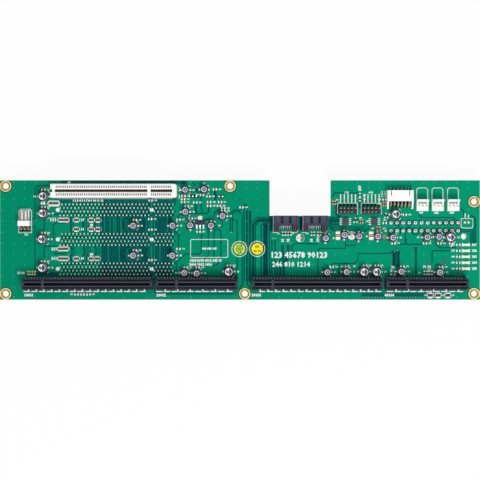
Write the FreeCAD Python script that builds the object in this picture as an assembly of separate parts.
import FreeCAD, Part
import math
import os

# Passive backplane of a low server case, in millimetres, lying on its rear connectors.
# X runs along the board, Y across it, Z out of its front face. The origin is under the
# middle of the board. Places on the left are measured from a layout datum near the middle of
# the board, those named by_slot along X from the right end of the front expansion slot, and
# all others right of that slot along X from the middle of the notch.

# Board
board_thickness = 1.6
left_margin = 16.7          # board edge to the first host slot
right_margin = 9.5          # last host slot to the board edge
bottom_margin = 10.9        # board edge to the line of host slots
top_margin = 7.5            # line of the front expansion slot to the board edge
notch_width = 42.0
notch_depth = 24.4
notch_from_right = 123.6    # board edge to the middle of the notch
screw_hole_radius = 2.05
screw_inset = 4.0           # screw hole centre to the nearest board edges
screw_by_slot = 36.4        # upper middle screw hole beyond the end of the front slot
screw_right_drop = 14.7     # upper right screw hole below the top edge
open_hole_radius = 2.1
open_hole_place = (112.7, 2.4)

# Expansion slots, one on the front and three on the rear
contact_pitch = 1.27
contact_count = 62
key_number = 50.5           # the key bar stands between two contacts
expansion_length = 85.5
expansion_width = 9.3
expansion_height = 11.4
expansion_edge = 0.5        # bevel along the top edges
expansion_foot_height = 1.5
expansion_foot_inset = 0.8
expansion_corner = 1.5      # rounding of the two right corners
expansion_corner_steps = 2  # flats that each rounding is made of
end_notch_depth = 1.35
end_notch_width = 2.1
key_width = 2.0
card_gap = 1.9
card_depth = 8.3
lead_in = 0.45              # bevel at the mouth of a card channel
pocket_length = 0.72
pocket_width = 1.55
pocket_depth = 4.0
pocket_offset = 2.6         # line of contact pockets to the middle of the channel
front_slot_left = -128.6
front_slot_y = 33.5
rear_slot_x = -84.8
rear_slot_y = 0.4           # middle one of the three
rear_slot_pitch = 20.32
peg_radius = 1.4
peg_sides = 8
peg_clearance = 0.1
peg_beyond = 0.4            # left peg beyond the end of the contact pattern

# Host slots along the bottom edge: long, short, long, short
host_left = -148.3
host_y = -30.1
host_long = 89.0
host_short = 56.0
host_gaps = [2.0, 9.4, 2.4]
host_width = 6.7
host_height = 11.25
host_flange_width = 8.9
host_flange_height = 2.6
host_edge = 0.4
host_key_from_left = 14.3
host_key_width = 1.9
host_end_wall = 1.9
host_card_gap = 1.8
host_card_depth = 8.2
host_window_offset = 2.45
host_window_width = 0.9
host_window_depth = 3.0
tab_pitch_long = 5.31       # gaps in the lower flange of a long slot
tab_pitch_short = 8.6
tab_gap = 1.3
tab_first = [2.35, 5.3, 5.25, 7.15]    # first gap from the left end of each slot

# Drive sockets below the notch
socket_width = 17.4
socket_block_depth = 6.4
socket_depth = 11.0
socket_height = 8.4
socket_leg_width = 3.8
socket_leg_height = 6.2
socket_spacing = 20.1
socket_corner = 1.25        # bevel of the right leg
socket_cavity_width = 12.4
socket_cavity_height = 4.8
socket_cavity_depth = 5.0
socket_tongue_width = 10.4
socket_tongue_thickness = 1.2
socket_groove_places = [-2.6, 2.85]
socket_groove_width = 1.5
socket_groove_length = 4.5
socket_groove_depth = 0.9
socket_groove_start = 0.75  # grooves begin this far behind the mouth
socket_window = (1.7, 2.5)  # through each leg, for a hold-down
socket_clip_thickness = 0.55
socket_tail_count = 7
socket_tail_pitch = 1.27
socket_tail_width = 0.5
socket_tail_length = 1.6

# Pin headers of two rows
header_pitch = 2.54
header_columns = 5
header_body_height = 2.5
header_bevel = 0.6
header_pin = 0.64
header_pin_height = 6.0
header_places = [(32.55, 20.4), (48.85, 20.4)]

# Upright fan headers
fan_pitch = 2.54
fan_width = 8.0
fan_depth = 7.8
fan_base_height = 3.3
fan_wall_thickness = 1.15
fan_wall_height = 6.5
fan_groove = (5.9, 1.6, 1.4)    # in the base in front of the wall
fan_hook = 0.5              # lock ridge on the wall
fan_pin = 0.64
fan_pin_height = 5.0
fan_places = [(83.75, 23.8), (94.25, 23.8), (104.9, 23.8)]

# Right-angle fan header
side_fan_place = (-147.8, 11.3)
side_fan_width = 8.0
side_fan_depth = 3.55
side_fan_height = 5.8
side_fan_pin_height = 4.2   # middle of the pins above the board
side_fan_tongue_width = 6.3
side_fan_tongue_length = 7.6
side_fan_tongue_thickness = 1.1
side_fan_pin_reach = 7.2
side_fan_tail = 1.9         # tails behind the body

# Right-angle wafer of six pins
wafer_place = (68.35, 34.0)
wafer_pins = 6
wafer_pitch = 2.5
wafer_width = 17.8
wafer_depth = 7.4
wafer_height = 5.9
wafer_wall = 1.0
wafer_floor = 1.2
wafer_leg_length = 5.3
wafer_slit_width = 0.7
wafer_slit_length = 3.8
wafer_pin = 0.64
wafer_pin_height = 3.1
wafer_tail = 2.6

# Power header on the rear
power_columns = 12
power_pitch = 4.2
power_row_pitch = 5.5
power_place = (85.45, 9.15)
power_height = 12.8
power_wall = 1.25
power_cell = 3.3
power_cell_depth = 9.5
power_pin = 1.07
power_pin_height = 8.0
power_latch_width = 6.0
power_latch_depth = 1.5
power_latch_height = 2.4
power_ear_width = 4.6
power_ear_height = 3.0
power_peg_radius = 1.6
power_peg_drop = 6.85       # pegs below the middle of the header

# Solder joints of the power header on the front face
power_joint_width = 2.6
power_joint_height = 1.6

# Electrolytic capacitors
large_can_radius = 3.15
large_can_height = 5.8
large_base = 6.6
small_can_radius = 2.5
small_can_height = 5.4
small_base = 5.3
can_base_height = 0.9
can_base_corner = 1.2
can_sides = 12

# Chips and small parts
regulator_size = (6.5, 3.5, 1.6)
regulator_place_by_slot = (15.75, 12.1)
regulator_tab = (3.0, 2.4)
regulator_lead = (0.75, 2.2)
regulator_lead_pitch = 2.3
chip_size = (4.2, 5.2, 1.5)
chip_lead = (0.45, 1.3)
chip_lead_pitch = 1.27
chip_leads_per_side = 4
chip_places = [(31.1, 12.7), (51.0, 12.7)]
transistor_size = (2.9, 1.4, 1.0)
transistor_lead = (0.45, 0.6)
transistor_lead_spread = 0.95
transistor_places = [(38.05, 13.6), (59.1, 16.8)]
chip_draft = 0.12           # moulded bodies draw in this much towards the top
lead_thickness = 0.25
lead_shoulder = 0.7         # height at which a lead leaves its body
fuse_size = (3.2, 4.6, 1.1)
fuse_places = [(25.95, 3.1), (48.8, 3.0)]
light_size = (3.0, 1.6, 0.5)
light_lens = (1.9, 1.4, 0.6)
light_x = 113.9
light_top_y = -3.3
light_pitch = 4.1
light_count = 5
light_resistor_x = 108.7
part_length = 1.6           # chip resistor or capacitor
part_width = 0.85
part_height = 0.5
array_size = (3.2, 1.7, 0.55)
wide_array_length = 6.6
sticker_radius = 3.9
sticker_thickness = 0.15
sticker_sides = 20
sticker_places_by_slot = [(42.75, -6.2), (55.0, -6.1)]

large_cans_left = [(-134.8, 29.9), (-135.0, 18.2), (-135.4, 0.5), (-135.2, -19.1)]
large_cans_by_slot = [(35.5, -21.8)]
large_cans_by_notch = [(43.6, -21.9), (52.3, -21.9), (65.3, 17.6), (102.7, 1.7)]
small_cans_left = [(-73.0, 9.7), (-73.0, -10.7)]
small_cans_by_slot = [
    (5.7, 34.4), (18.6, 34.6), (5.8, 19.3), (-3, 9.8), (31.2, 16.4), (-3.2, -10.7), (5.05, -22.6),
    (13.5, -22.9),
]
small_cans_by_slot_upright = [(9.1, 10.0), (23.3, 9.8)]
small_cans_by_notch = [
    (63.4, 1.6), (86.8, 1.8), (94.9, 2.1), (18.4, -22.2), (31.6, -21.9), (69.1, -21.7), (95.4, -22.3),
]
small_cans_by_notch_upright = [(17.35, 1.2), (30.2, 3.4), (40.2, 2.4), (53.15, 2.4)]

chip_parts_left = [
    (-135.0, 34.5), (-135.0, 22.6), (-135.0, 4.9), (-135.2, -14.7), (-61.4, 27.2), (-61.7, 14.4),
    (-61.5, 7.1), (-72.1, 13.7), (-72.2, -7.1), (-61.5, -13.8), (-112.3, -37.4), (-108.2, -37.4),
    (-104.0, -37.4),
]
chip_parts_by_slot = [
    (4.3, 30.3), (4.1, 28.1), (4.1, 26.1), (12.4, 25.8), (6.6, 23.2), (9.3, 14.8), (0.8, 14.0),
    (14.7, 5.7), (17, 31.0), (25.9, 34.8), (21.4, 30.0), (21.9, 26.1), (21.9, 23.5), (29.4, 26.1),
    (28.7, 23.5), (31.7, 21.9), (31.7, 20.2), (0.8, -6.1), (5.9, -18.9), (14.1, -18.9), (44.2, 22.4),
    (35.6, -17.6),
]
chip_parts_by_notch = [
    (58.1, 11.7), (57.9, 27.8), (71.9, 17.4), (64.2, -2.3), (85.8, -2.3), (95.8, -2.3), (103.8, -2.3),
    (21.7, -18.5), (32.2, -18.3), (44.7, -17.6), (52.7, -17.6), (70.3, -18.2), (96.9, -18.6), (62.6, -22.8),
    (65.1, -22.8), (85.4, -22.6), (88.7, -22.6), (89.5, -38.0), (94.8, -38.0), (101.5, -38.0),
]
chip_parts_by_notch_upright = [
    (41.1, 30.8), (41.1, 27.8), (22.5, 25.7), (24.2, 25.7), (41.4, 12.7), (43.0, 12.8), (52.9, 7.8),
    (54.7, 7.8), (57.2, 24.7), (58.8, 24.7), (-12.0, 4.4), (-8.2, 4.4), (7.8, 4.4), (12.2, 4.4),
]
arrays = [
    (-112.4, 13.7), (-102.2, 13.6), (-97.6, 13.6), (-112.4, 7.3), (-102.2, 7.3), (-97.6, 7.3),
    (-112.4, -12.8), (-102.0, -12.8), (-98.2, -12.8),
]
wide_arrays = [(-127.9, 25.2), (-121.3, 13.7), (-121.4, -6.1), (-121.4, -12.8)]

# Worked out from the sizes above
overshoot = 1.0             # cutters reach this far past a face
host_lengths = [host_long, host_short, host_long, host_short]
host_starts = [host_left]
for step in range(3):
    host_starts.append(host_starts[step] + host_lengths[step] + host_gaps[step])
board_left = host_left - left_margin
board_right = host_starts[3] + host_lengths[3] + right_margin
board_bottom = host_y - bottom_margin
board_top = front_slot_y + top_margin
notch_x = board_right - notch_from_right
slot_end = front_slot_left + expansion_length
centre_x = (board_left + board_right) / 2
centre_y = (board_bottom + board_top) / 2
board_rear = max(power_height, expansion_height)
board_front = board_rear + board_thickness
contact_half = (contact_count + 1) / 2 * contact_pitch
key_x = (key_number - (contact_count + 1) / 2) * contact_pitch
rear_slot_rows = [rear_slot_y + rear_slot_pitch, rear_slot_y, rear_slot_y - rear_slot_pitch]
peg_places = [-contact_half - peg_beyond, key_x]
power_length = (power_columns - 1) * power_pitch + power_cell + 2 * power_wall
power_width = power_row_pitch + power_cell + 2 * power_wall
power_peg_x = notch_x + power_place[0] - power_length / 2 - power_peg_radius
V = FreeCAD.Vector
os.makedirs("parts", exist_ok=True)


def by_slot(places):
    """Places given from the end of the front slot, on the layout datum."""
    return [(slot_end + x, y) for x, y in places]


def by_notch(places):
    """Places given from the middle of the notch, on the layout datum."""
    return [(notch_x + x, y) for x, y in places]


def block(size, x=0, y=0, z=0):
    """Box centred on x and y, standing on z."""
    return Part.makeBox(size[0], size[1], size[2], V(x - size[0] / 2, y - size[1] / 2, z))


def span(x0, x1, y0, y1, z0, z1):
    """Box between limits on each axis."""
    return Part.makeBox(x1 - x0, y1 - y0, z1 - z0, V(x0, y0, z0))


def prism(outline, height, z=0):
    """Outline in X and Y raised by a height."""
    corners = [V(x, y, z) for x, y in outline]
    return Part.Face(Part.makePolygon(corners + corners[:1])).extrude(V(0, 0, height))


def drum(radius, sides, height, x=0, y=0, z=0):
    """Round piece with few faces: a regular prism that stands on z."""
    turn = 2 * math.pi / sides
    ring = [(x + radius * math.cos((step + 0.5) * turn), y + radius * math.sin((step + 0.5) * turn))
            for step in range(sides)]
    return prism(ring, height, z)


def rail(section, x0, x1):
    """Section in Y and Z drawn along X."""
    corners = [V(x0, y, z) for y, z in section]
    return Part.Face(Part.makePolygon(corners + corners[:1])).extrude(V(x1 - x0, 0, 0))


def bent(profile, x, width):
    """Bent pin or lead: a side profile in Y and Z, as wide as the strip it is stamped from."""
    return rail(profile, x - width / 2, x + width / 2)


def tapered(size):
    """Moulded chip body, standing on the board and drawn in a little towards its top."""
    length, width, height = size
    half_x = length / 2
    half_y = width / 2
    top_x = half_x - chip_draft
    top_y = half_y - chip_draft
    wedge = Part.makeWedge(-half_x, 0, -half_y, -top_y, -top_x, half_x, height, half_y, top_y, top_x)
    wedge.rotate(V(0, 0, 0), V(1, 0, 0), 90)
    return wedge


def pyramid(width, height):
    """Solder joint: a low four-sided cone round a pin's tip."""
    half = width / 2
    base = [V(half, half, 0), V(-half, half, 0), V(-half, -half, 0), V(half, -half, 0)]
    tip = V(0, 0, height)
    faces = [Part.Face(Part.makePolygon(base + base[:1]))]
    for start, end in zip(base, base[1:] + base[:1]):
        faces.append(Part.Face(Part.makePolygon([start, end, tip, start])))
    return Part.Solid(Part.Shell(faces))


def front(shape, place):
    """Copy of a shape standing on the front face."""
    moved = shape.copy()
    moved.translate(V(place[0] - centre_x, place[1] - centre_y, board_front))
    return moved


def rear(shape, place):
    """Copy of a shape hanging from the rear face."""
    turned = shape.copy()
    turned.rotate(V(0, 0, 0), V(1, 0, 0), 180)
    turned.translate(V(place[0] - centre_x, place[1] - centre_y, board_rear))
    return turned


def upright(shape):
    """Copy of a shape turned a quarter round Z."""
    turned = shape.copy()
    turned.rotate(V(0, 0, 0), V(0, 0, 1), 90)
    return turned


def one(shape):
    """The single clean solid that a boolean leaves."""
    return shape.removeSplitter().Solids[0]


def save(node, solids):
    """One file for each node."""
    shape = solids[0] if len(solids) == 1 else Part.makeCompound(solids)
    shape.exportStep("parts/" + node + ".step")


def channel(x0, x1, gap, depth, height):
    """Cutter for a card channel with a bevelled mouth."""
    half = gap / 2
    wide = half + lead_in
    above = height + overshoot
    section = [(-half, height - depth), (half, height - depth), (half, height - lead_in), (wide, height),
               (wide, above), (-wide, above), (-wide, height), (-half, height - lead_in)]
    return rail(section, x0, x1)


def expansion_housing():
    """Expansion slot housing without its contact pockets, standing on the board."""
    half = expansion_width / 2
    foot = half - expansion_foot_inset
    edge = half - expansion_edge
    low = expansion_foot_height
    high = expansion_height - expansion_edge
    section = [(-foot, 0), (foot, 0), (foot, low), (half, low), (half, high), (edge, expansion_height),
               (-edge, expansion_height), (-half, high), (-half, low), (-foot, low)]
    end = expansion_length / 2
    body = rail(section, -end, end)
    bend_x = end - expansion_corner
    bend_y = half - expansion_corner
    bend = []
    for step in range(expansion_corner_steps + 1):
        angle = step * math.pi / 2 / expansion_corner_steps
        bend.append((bend_x + expansion_corner * math.cos(angle), bend_y + expansion_corner * math.sin(angle)))
    plan = [(-end, -half)] + [(x, -y) for x, y in bend[::-1]] + bend + [(-end, half)]
    body = body.common(prism(plan, expansion_height))
    cutters = [
        span(-end - overshoot, end_notch_depth - end, -end_notch_width / 2, end_notch_width / 2,
             -overshoot, expansion_height + overshoot),
        channel(-contact_half, key_x - key_width / 2, card_gap, card_depth, expansion_height),
        channel(key_x + key_width / 2, contact_half, card_gap, card_depth, expansion_height),
    ]
    return body.cut(cutters)


def contact_sites():
    """Places of the contacts along the slot, without the two that the key takes."""
    return [number for number in range(1, contact_count + 1) if abs(number - key_number) > 1]


def contact_x(number):
    return (number - (contact_count + 1) / 2) * contact_pitch


def pocket_cutters():
    """One pocket for each contact, in a line on each side of the channel."""
    size = (pocket_length, pocket_width, pocket_depth + overshoot)
    floor = expansion_height - pocket_depth
    return [block(size, contact_x(number), side * pocket_offset, floor)
            for number in contact_sites() for side in (-1, 1)]


def trough_cutters():
    """The same pockets with fewer faces: one trough for each run of contacts."""
    floor = expansion_height - pocket_depth
    low = pocket_offset - pocket_width / 2
    high = pocket_offset + pocket_width / 2
    runs = [(-contact_half, key_x - key_width / 2), (key_x + key_width / 2, contact_half)]
    cutters = []
    for x0, x1 in runs:
        for y0, y1 in ((low, high), (-high, -low)):
            cutters.append(span(x0, x1, y0, y1, floor, expansion_height + overshoot))
    return cutters


def host_housing(length, first_gap, tab_pitch):
    """Host slot housing: flanged section, keyed channel, window rows and gaps in the lower flange."""
    half = host_width / 2
    wide = host_flange_width / 2
    low = host_flange_height
    high = host_height - host_edge
    edge = half - host_edge
    section = [(-wide, 0), (wide, 0), (wide, low), (half, low), (half, high), (edge, host_height),
               (-edge, host_height), (-half, high), (-half, low), (-wide, low)]
    key_left = host_key_from_left - host_key_width / 2
    key_right = host_key_from_left + host_key_width / 2
    runs = [(host_end_wall, key_left), (key_right, length - host_end_wall)]
    cutters = []
    for x0, x1 in runs:
        cutters.append(channel(x0, x1, host_card_gap, host_card_depth, host_height))
        for side in (-1, 1):
            size = (x1 - x0, host_window_width, host_window_depth + overshoot)
            cutters.append(block(size, (x0 + x1) / 2, side * host_window_offset,
                                 host_height - host_window_depth))
    place = first_gap
    while place + tab_gap < length - host_end_wall:
        cutters.append(span(place, place + tab_gap, -wide - overshoot, -half, -overshoot, low + overshoot))
        place += tab_pitch
    return one(rail(section, 0, length).cut(cutters))


def leg_middles():
    """Middles of the two legs behind the block of a drive socket."""
    x = (socket_width - socket_leg_width) / 2
    y = -(socket_depth + socket_block_depth) / 2
    return [(-x, y), (x, y)]


def drive_socket():
    """Right-angle drive socket: mouth at y = 0, legs towards -Y."""
    side = socket_width / 2
    inner = side - socket_leg_width
    back = -socket_depth
    legs = prism([(-side, 0), (side, 0), (side, back + socket_corner), (side - socket_corner, back),
                  (inner, back), (inner, -socket_block_depth), (-inner, -socket_block_depth),
                  (-inner, back), (-side, back)], socket_leg_height)
    hood = span(-side, side, -socket_block_depth, 0, socket_leg_height, socket_height)
    floor = (socket_height - socket_cavity_height) / 2
    cavity = block((socket_cavity_width, socket_cavity_depth + overshoot, socket_cavity_height),
                   0, (overshoot - socket_cavity_depth) / 2, floor)
    tongue_floor = (socket_height - socket_tongue_thickness) / 2
    tongue = block((socket_tongue_width, socket_cavity_depth, socket_tongue_thickness),
                   0, -socket_cavity_depth / 2, tongue_floor)
    key_x0 = socket_tongue_width / 2 - socket_tongue_thickness
    key = span(key_x0, socket_tongue_width / 2, -socket_cavity_depth, 0,
               tongue_floor + socket_tongue_thickness, tongue_floor + 2 * socket_tongue_thickness)
    cutters = [cavity.cut([tongue, key])]
    for x in socket_groove_places:
        size = (socket_groove_width, socket_groove_length, socket_groove_depth + overshoot)
        cutters.append(block(size, x, -socket_groove_start - socket_groove_length / 2,
                             socket_height - socket_groove_depth))
    window = (socket_window[0], socket_window[1], socket_leg_height + 2 * overshoot)
    cutters += [block(window, x, y, -overshoot) for x, y in leg_middles()]
    return one(legs.fuse(hood).cut(cutters))


def socket_clips():
    """Metal hold-downs that stand in the windows of the legs."""
    size = (socket_clip_thickness, socket_window[1], socket_leg_height - lead_thickness)
    return [block(size, x, y) for x, y in leg_middles()]


def socket_tails():
    """Tails of the seven contacts behind the block, bent down to the board."""
    back = -socket_block_depth
    low = lead_thickness
    toe = back - socket_tail_length
    profile = [(back, 0), (toe, 0), (toe, low), (back, lead_shoulder)]
    first = -(socket_tail_count - 1) / 2
    return [bent(profile, (first + number) * socket_tail_pitch, socket_tail_width)
            for number in range(socket_tail_count)]


def header_body():
    """Pin header body: a row of cells with bevelled corners."""
    half_y = header_pitch
    waist = half_y - header_bevel
    left = -header_columns * header_pitch / 2
    upper = []
    lower = []
    for cell in range(header_columns):
        start = left + cell * header_pitch
        stop = start + header_pitch
        upper += [(start, waist), (start + header_bevel, half_y), (stop - header_bevel, half_y)]
        lower += [(start, -waist), (start + header_bevel, -half_y), (stop - header_bevel, -half_y)]
    upper.append((stop, waist))
    lower.append((stop, -waist))
    return prism(upper + lower[::-1], header_body_height)


def header_pins():
    """Nine pins: the last place of the lower row is left empty."""
    size = (header_pin, header_pin, header_pin_height)
    places = [(column, row) for column in range(header_columns) for row in (0, 1)]
    places.remove((header_columns - 1, 0))
    middle = (header_columns - 1) / 2
    return [block(size, (column - middle) * header_pitch, (row - 0.5) * header_pitch, header_body_height)
            for column, row in places]


def fan_body():
    """Upright fan header: base with a hooked lock wall on its +Y side."""
    back = fan_depth / 2
    wall = back - fan_wall_thickness
    ridge = fan_wall_height - 2 * fan_hook
    section = [(-back, 0), (back, 0), (back, fan_wall_height), (wall, fan_wall_height), (wall - fan_hook, ridge),
               (wall, ridge - 2 * fan_hook), (wall, fan_base_height), (-back, fan_base_height)]
    groove = block(fan_groove, 0, wall - fan_groove[1] / 2, fan_base_height - fan_groove[2] / 2)
    return one(rail(section, -fan_width / 2, fan_width / 2).cut([groove]))


def fan_pins():
    size = (fan_pin, fan_pin, fan_pin_height)
    y = -fan_wall_thickness / 2
    return [block(size, step * fan_pitch, y, fan_base_height) for step in (-1, 0, 1)]


def right_angle_pin(x, width, mouth, tail, height):
    """Square pin along Y that turns down into the board behind its housing."""
    low = height - width / 2
    high = height + width / 2
    profile = [(mouth, low), (mouth, high), (tail, high), (tail, 0), (tail + width, 0), (tail + width, low)]
    return bent(profile, x, width)


def side_fan_pins():
    tail = -side_fan_depth / 2 - side_fan_tail
    mouth = side_fan_depth / 2 + side_fan_pin_reach
    return [right_angle_pin(step * fan_pitch, fan_pin, mouth, tail, side_fan_pin_height) for step in (-1, 0, 1)]


def side_fan_body():
    """Right-angle fan header: a bar with a lock tongue under its pins."""
    bar = block((side_fan_width, side_fan_depth, side_fan_height))
    start = side_fan_depth / 2
    tongue = span(-side_fan_tongue_width / 2, side_fan_tongue_width / 2, start, start + side_fan_tongue_length,
                  0, side_fan_tongue_thickness)
    return one(bar.fuse(tongue).cut(side_fan_pins()))


def wafer_pin_set():
    first = -(wafer_pins - 1) / 2
    mouth = -wafer_wall
    tail = -wafer_depth - wafer_tail
    return [right_angle_pin((first + number) * wafer_pitch, wafer_pin, mouth, tail, wafer_pin_height)
            for number in range(wafer_pins)]


def wafer_body():
    """Shrouded right-angle wafer: mouth at y = 0, side legs running back on the board."""
    side = wafer_width / 2
    inner = side - wafer_wall
    shell = span(-side, side, -wafer_depth, 0, 0, wafer_height)
    cavity = span(-inner, inner, wafer_wall - wafer_depth, overshoot, wafer_floor, wafer_height - wafer_wall)
    cutters = [cavity] + wafer_pin_set()
    for x in (-1, 1):
        slit = (wafer_slit_width, 2 * wafer_slit_length, wafer_height)
        cutters.append(block(slit, x * (wafer_pins / 2 - 0.5) * wafer_pitch, 0, wafer_height - 2 * wafer_wall))
    legs = []
    for x0, x1 in ((-side, -inner), (inner, side)):
        back = -wafer_depth
        section = [(back, 0), (back, wafer_height), (back - wafer_leg_length, wafer_height / 2),
                   (back - wafer_leg_length, 0)]
        legs.append(rail(section, x0, x1))
    return one(shell.fuse(legs).cut(cutters))


def power_cells():
    """Places of the cells of the power header, from its middle."""
    first = -(power_columns - 1) / 2
    return [((first + column) * power_pitch, row * power_row_pitch)
            for column in range(power_columns) for row in (-0.5, 0.5)]


def power_housing():
    """Power header: a block of open cells, a latch ridge and two ears, one with a peg in the board."""
    shell = block((power_length, power_width, power_height))
    side = power_width / 2
    top = power_height - power_wall
    catch = top - power_latch_height
    ridge = [(side, top), (side, catch), (side + power_latch_depth, catch)]
    latch = rail(ridge, -power_latch_width / 2, power_latch_width / 2)
    end = power_length / 2
    outer = end + 2 * power_peg_radius
    drop = power_peg_drop
    ears = []
    for x0, x1 in ((-outer, 0), (0, outer)):
        ears.append(span(x0, x1, drop - power_ear_width / 2, drop + power_ear_width / 2, 0, power_ear_height))
    peg = drum(power_peg_radius, peg_sides, board_thickness + power_ear_height / 2,
               -end - power_peg_radius, drop, -board_thickness)
    size = (power_cell, power_cell, power_cell_depth + overshoot)
    cells = [block(size, x, y, power_height - power_cell_depth) for x, y in power_cells()]
    eye = drum(open_hole_radius, peg_sides, power_ear_height + 2 * overshoot,
               open_hole_place[0] - power_place[0], drop, -overshoot)
    return one(shell.fuse([latch, peg] + ears).cut(cells + [eye]))


def power_pins():
    size = (power_pin, power_pin, power_pin_height)
    floor = power_height - power_cell_depth
    return [block(size, x, y, floor) for x, y in power_cells()]


def can(radius, height):
    """Rolled aluminium can standing on its base."""
    return drum(radius, can_sides, height - can_base_height, z=can_base_height)


def can_base(width):
    """Black base with the two corners of the positive side cut off."""
    half = width / 2
    cut = half - can_base_corner
    return prism([(-half, -half), (cut, -half), (half, -cut), (half, cut), (cut, half), (-half, half)],
                 can_base_height)


def spread(shape, places, upright_places=()):
    """Copies of a front part at its places, turned where the layout turns it."""
    turned = upright(shape)
    return [front(shape, place) for place in places] + [front(turned, place) for place in upright_places]


def sloped_lead(inner, outer, width, shift):
    """Flat lead from the shoulder of a body down to the board, pointing to -Y or +Y."""
    profile = [(inner, lead_shoulder), (inner, lead_shoulder - lead_thickness),
               (outer, 0), (outer, lead_thickness)]
    return bent(profile, shift, width)


# Board
outline = [
    (board_left, board_bottom), (board_right, board_bottom), (board_right, board_top),
    (notch_x + notch_width / 2, board_top), (notch_x + notch_width / 2, board_top - notch_depth),
    (notch_x - notch_width / 2, board_top - notch_depth), (notch_x - notch_width / 2, board_top),
    (board_left, board_top),
]
screw_bottom_x = (host_starts[1] + host_short + host_starts[2]) / 2
screw_places = [
    (board_left + screw_inset, board_top - screw_inset),
    (board_left + screw_inset, board_bottom + screw_inset),
    (slot_end + screw_by_slot, board_top - screw_inset),
    (screw_bottom_x, board_bottom + screw_inset),
    (board_right - screw_inset, board_top - screw_right_drop),
    (board_right - screw_inset, board_bottom + screw_inset),
]
drill = board_thickness + 2 * overshoot
drills = [Part.makeCylinder(screw_hole_radius, drill, V(x, y, -overshoot)) for x, y in screw_places]
open_x = notch_x + open_hole_place[0]
drills.append(Part.makeCylinder(open_hole_radius, drill, V(open_x, open_hole_place[1], -overshoot)))
drills.append(drum(power_peg_radius + peg_clearance, peg_sides, drill,
                   power_peg_x, power_place[1] - power_peg_drop, -overshoot))
for row in rear_slot_rows:
    for x in peg_places:
        drills.append(drum(peg_radius + peg_clearance, peg_sides, drill, rear_slot_x + x, row, -overshoot))
plate = prism(outline, board_thickness)
board = one(plate.cut(drills))
board.translate(V(-centre_x, -centre_y, board_rear))
save("circuit_board", [board])

# Expansion slots
slot_shell = expansion_housing()
front_shell = one(slot_shell.cut(pocket_cutters()))
save("front_expansion_slot", [front(front_shell, (slot_end - expansion_length / 2, front_slot_y))])
pegs = [drum(peg_radius, peg_sides, board_thickness + expansion_foot_height / 2, x, z=-board_thickness)
        for x in peg_places]
rear_shell = one(slot_shell.cut(trough_cutters()).fuse(pegs))
for name, row in zip(("upper", "middle", "lower"), rear_slot_rows):
    save("rear_expansion_slot_" + name, [rear(rear_shell, (rear_slot_x, row))])

# Host slots
host_names = ("long_left", "short_left", "long_right", "short_right")
for name, start, length, first_gap in zip(host_names, host_starts, host_lengths, tab_first):
    pitch = tab_pitch_long if length == host_long else tab_pitch_short
    save("host_slot_" + name, [front(host_housing(length, first_gap, pitch), (start, host_y))])

# Drive sockets
socket_y = board_top - notch_depth
for name, side in (("left", -0.5), ("right", 0.5)):
    place = (notch_x + side * socket_spacing, socket_y)
    save("drive_socket_" + name, [front(drive_socket(), place)])
    save("drive_socket_clips_" + name, [front(clip, place) for clip in socket_clips()])
    save("drive_socket_tails_" + name, [front(tail, place) for tail in socket_tails()])

# Headers and wafer
for name, place in zip(("left", "right"), by_notch(header_places)):
    save("pin_header_" + name, [front(header_body(), place)])
    save("pin_header_pins_" + name, [front(pin, place) for pin in header_pins()])
for number, place in enumerate(by_notch(fan_places), 1):
    save("fan_header_%d" % number, [front(fan_body(), place)])
    save("fan_header_pins_%d" % number, [front(pin, place) for pin in fan_pins()])
save("side_fan_header", [front(side_fan_body(), side_fan_place)])
save("side_fan_header_pins", [front(pin, side_fan_place) for pin in side_fan_pins()])
wafer_at = (notch_x + wafer_place[0], wafer_place[1])
save("signal_wafer", [front(wafer_body(), wafer_at)])
save("signal_wafer_pins", [front(pin, wafer_at) for pin in wafer_pin_set()])

# Power header and its joints
power_at = (notch_x + power_place[0], power_place[1])
power_joint = pyramid(power_joint_width, power_joint_height)
save("power_header", [rear(power_housing(), power_at)])
save("power_header_pins", [rear(pin, power_at) for pin in power_pins()])
save("power_solder_joints", [front(power_joint, (power_at[0] + x, power_at[1] + y)) for x, y in power_cells()])

# Capacitors
large_can = can(large_can_radius, large_can_height)
small_can = can(small_can_radius, small_can_height)
large_places = large_cans_left + by_slot(large_cans_by_slot) + by_notch(large_cans_by_notch)
left_places = small_cans_left + by_slot(small_cans_by_slot)
left_turned = by_slot(small_cans_by_slot_upright)
right_places = by_notch(small_cans_by_notch)
right_turned = by_notch(small_cans_by_notch_upright)
save("large_capacitor_cans", spread(large_can, large_places))
save("large_capacitor_bases", spread(can_base(large_base), large_places))
save("small_capacitor_cans_left", spread(small_can, left_places, left_turned))
save("small_capacitor_cans_right", spread(small_can, right_places, right_turned))
small_places = left_places + right_places
small_turned = left_turned + right_turned
save("small_capacitor_bases", spread(can_base(small_base), small_places, small_turned))

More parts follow.
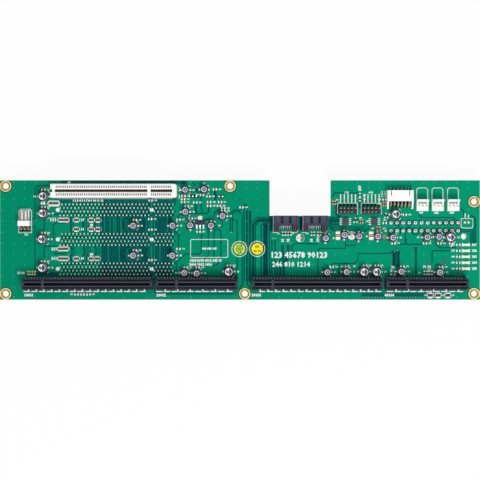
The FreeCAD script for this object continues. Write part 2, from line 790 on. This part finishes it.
# Regulator, chips and transistors
regulator_at = (slot_end + regulator_place_by_slot[0], regulator_place_by_slot[1])
save("regulator", [front(tapered(regulator_size), regulator_at)])
half_y = regulator_size[1] / 2
lead_width, lead_reach = regulator_lead
leads = [sloped_lead(-half_y, -half_y - lead_reach, lead_width, step * regulator_lead_pitch)
         for step in (-1, 0, 1)]
leads.append(sloped_lead(half_y, half_y + regulator_tab[1], regulator_tab[0], 0))
save("regulator_leads", [front(lead, regulator_at) for lead in leads])

half_x = chip_size[0] / 2
lead_width, lead_reach = chip_lead
leads = []
for number in range(chip_leads_per_side):
    shift = (number - (chip_leads_per_side - 1) / 2) * chip_lead_pitch
    leads.append(sloped_lead(half_x, half_x + lead_reach, lead_width, shift))
    leads.append(sloped_lead(-half_x, -half_x - lead_reach, lead_width, shift))
leads = [upright(lead) for lead in leads]
for name, place in zip(("left", "right"), by_notch(chip_places)):
    save("chip_" + name, [front(tapered(chip_size), place)])
    save("chip_leads_" + name, [front(lead, place) for lead in leads])

half_y = transistor_size[1] / 2
lead_width, lead_reach = transistor_lead
leads = [sloped_lead(half_y, half_y + lead_reach, lead_width, 0)]
for side in (-1, 1):
    leads.append(sloped_lead(-half_y, -half_y - lead_reach, lead_width, side * transistor_lead_spread))
transistor_at = by_notch(transistor_places)
save("transistors", spread(tapered(transistor_size), transistor_at))
save("transistor_leads", [front(lead, place) for place in transistor_at for lead in leads])

# Small parts
part = block((part_length, part_width, part_height))
light_rows = [light_top_y - number * light_pitch for number in range(light_count)]
lens = block(light_lens, z=light_size[2])
light = one(block(light_size).fuse(lens))
part_places = chip_parts_left + by_slot(chip_parts_by_slot) + by_notch(chip_parts_by_notch)
save("fuses", spread(block(fuse_size), by_notch(fuse_places)))
save("status_lights", spread(light, by_notch([(light_x, y) for y in light_rows])))
save("light_resistors", spread(part, by_notch([(light_resistor_x, y) for y in light_rows])))
save("chip_parts", spread(part, part_places, by_notch(chip_parts_by_notch_upright)))
wide_array = block((wide_array_length, array_size[1], array_size[2]))
save("resistor_arrays", spread(block(array_size), arrays) + spread(wide_array, wide_arrays))
for name, place in zip(("left", "right"), by_slot(sticker_places_by_slot)):
    save("sticker_" + name, [front(drum(sticker_radius, sticker_sides, sticker_thickness), place)])
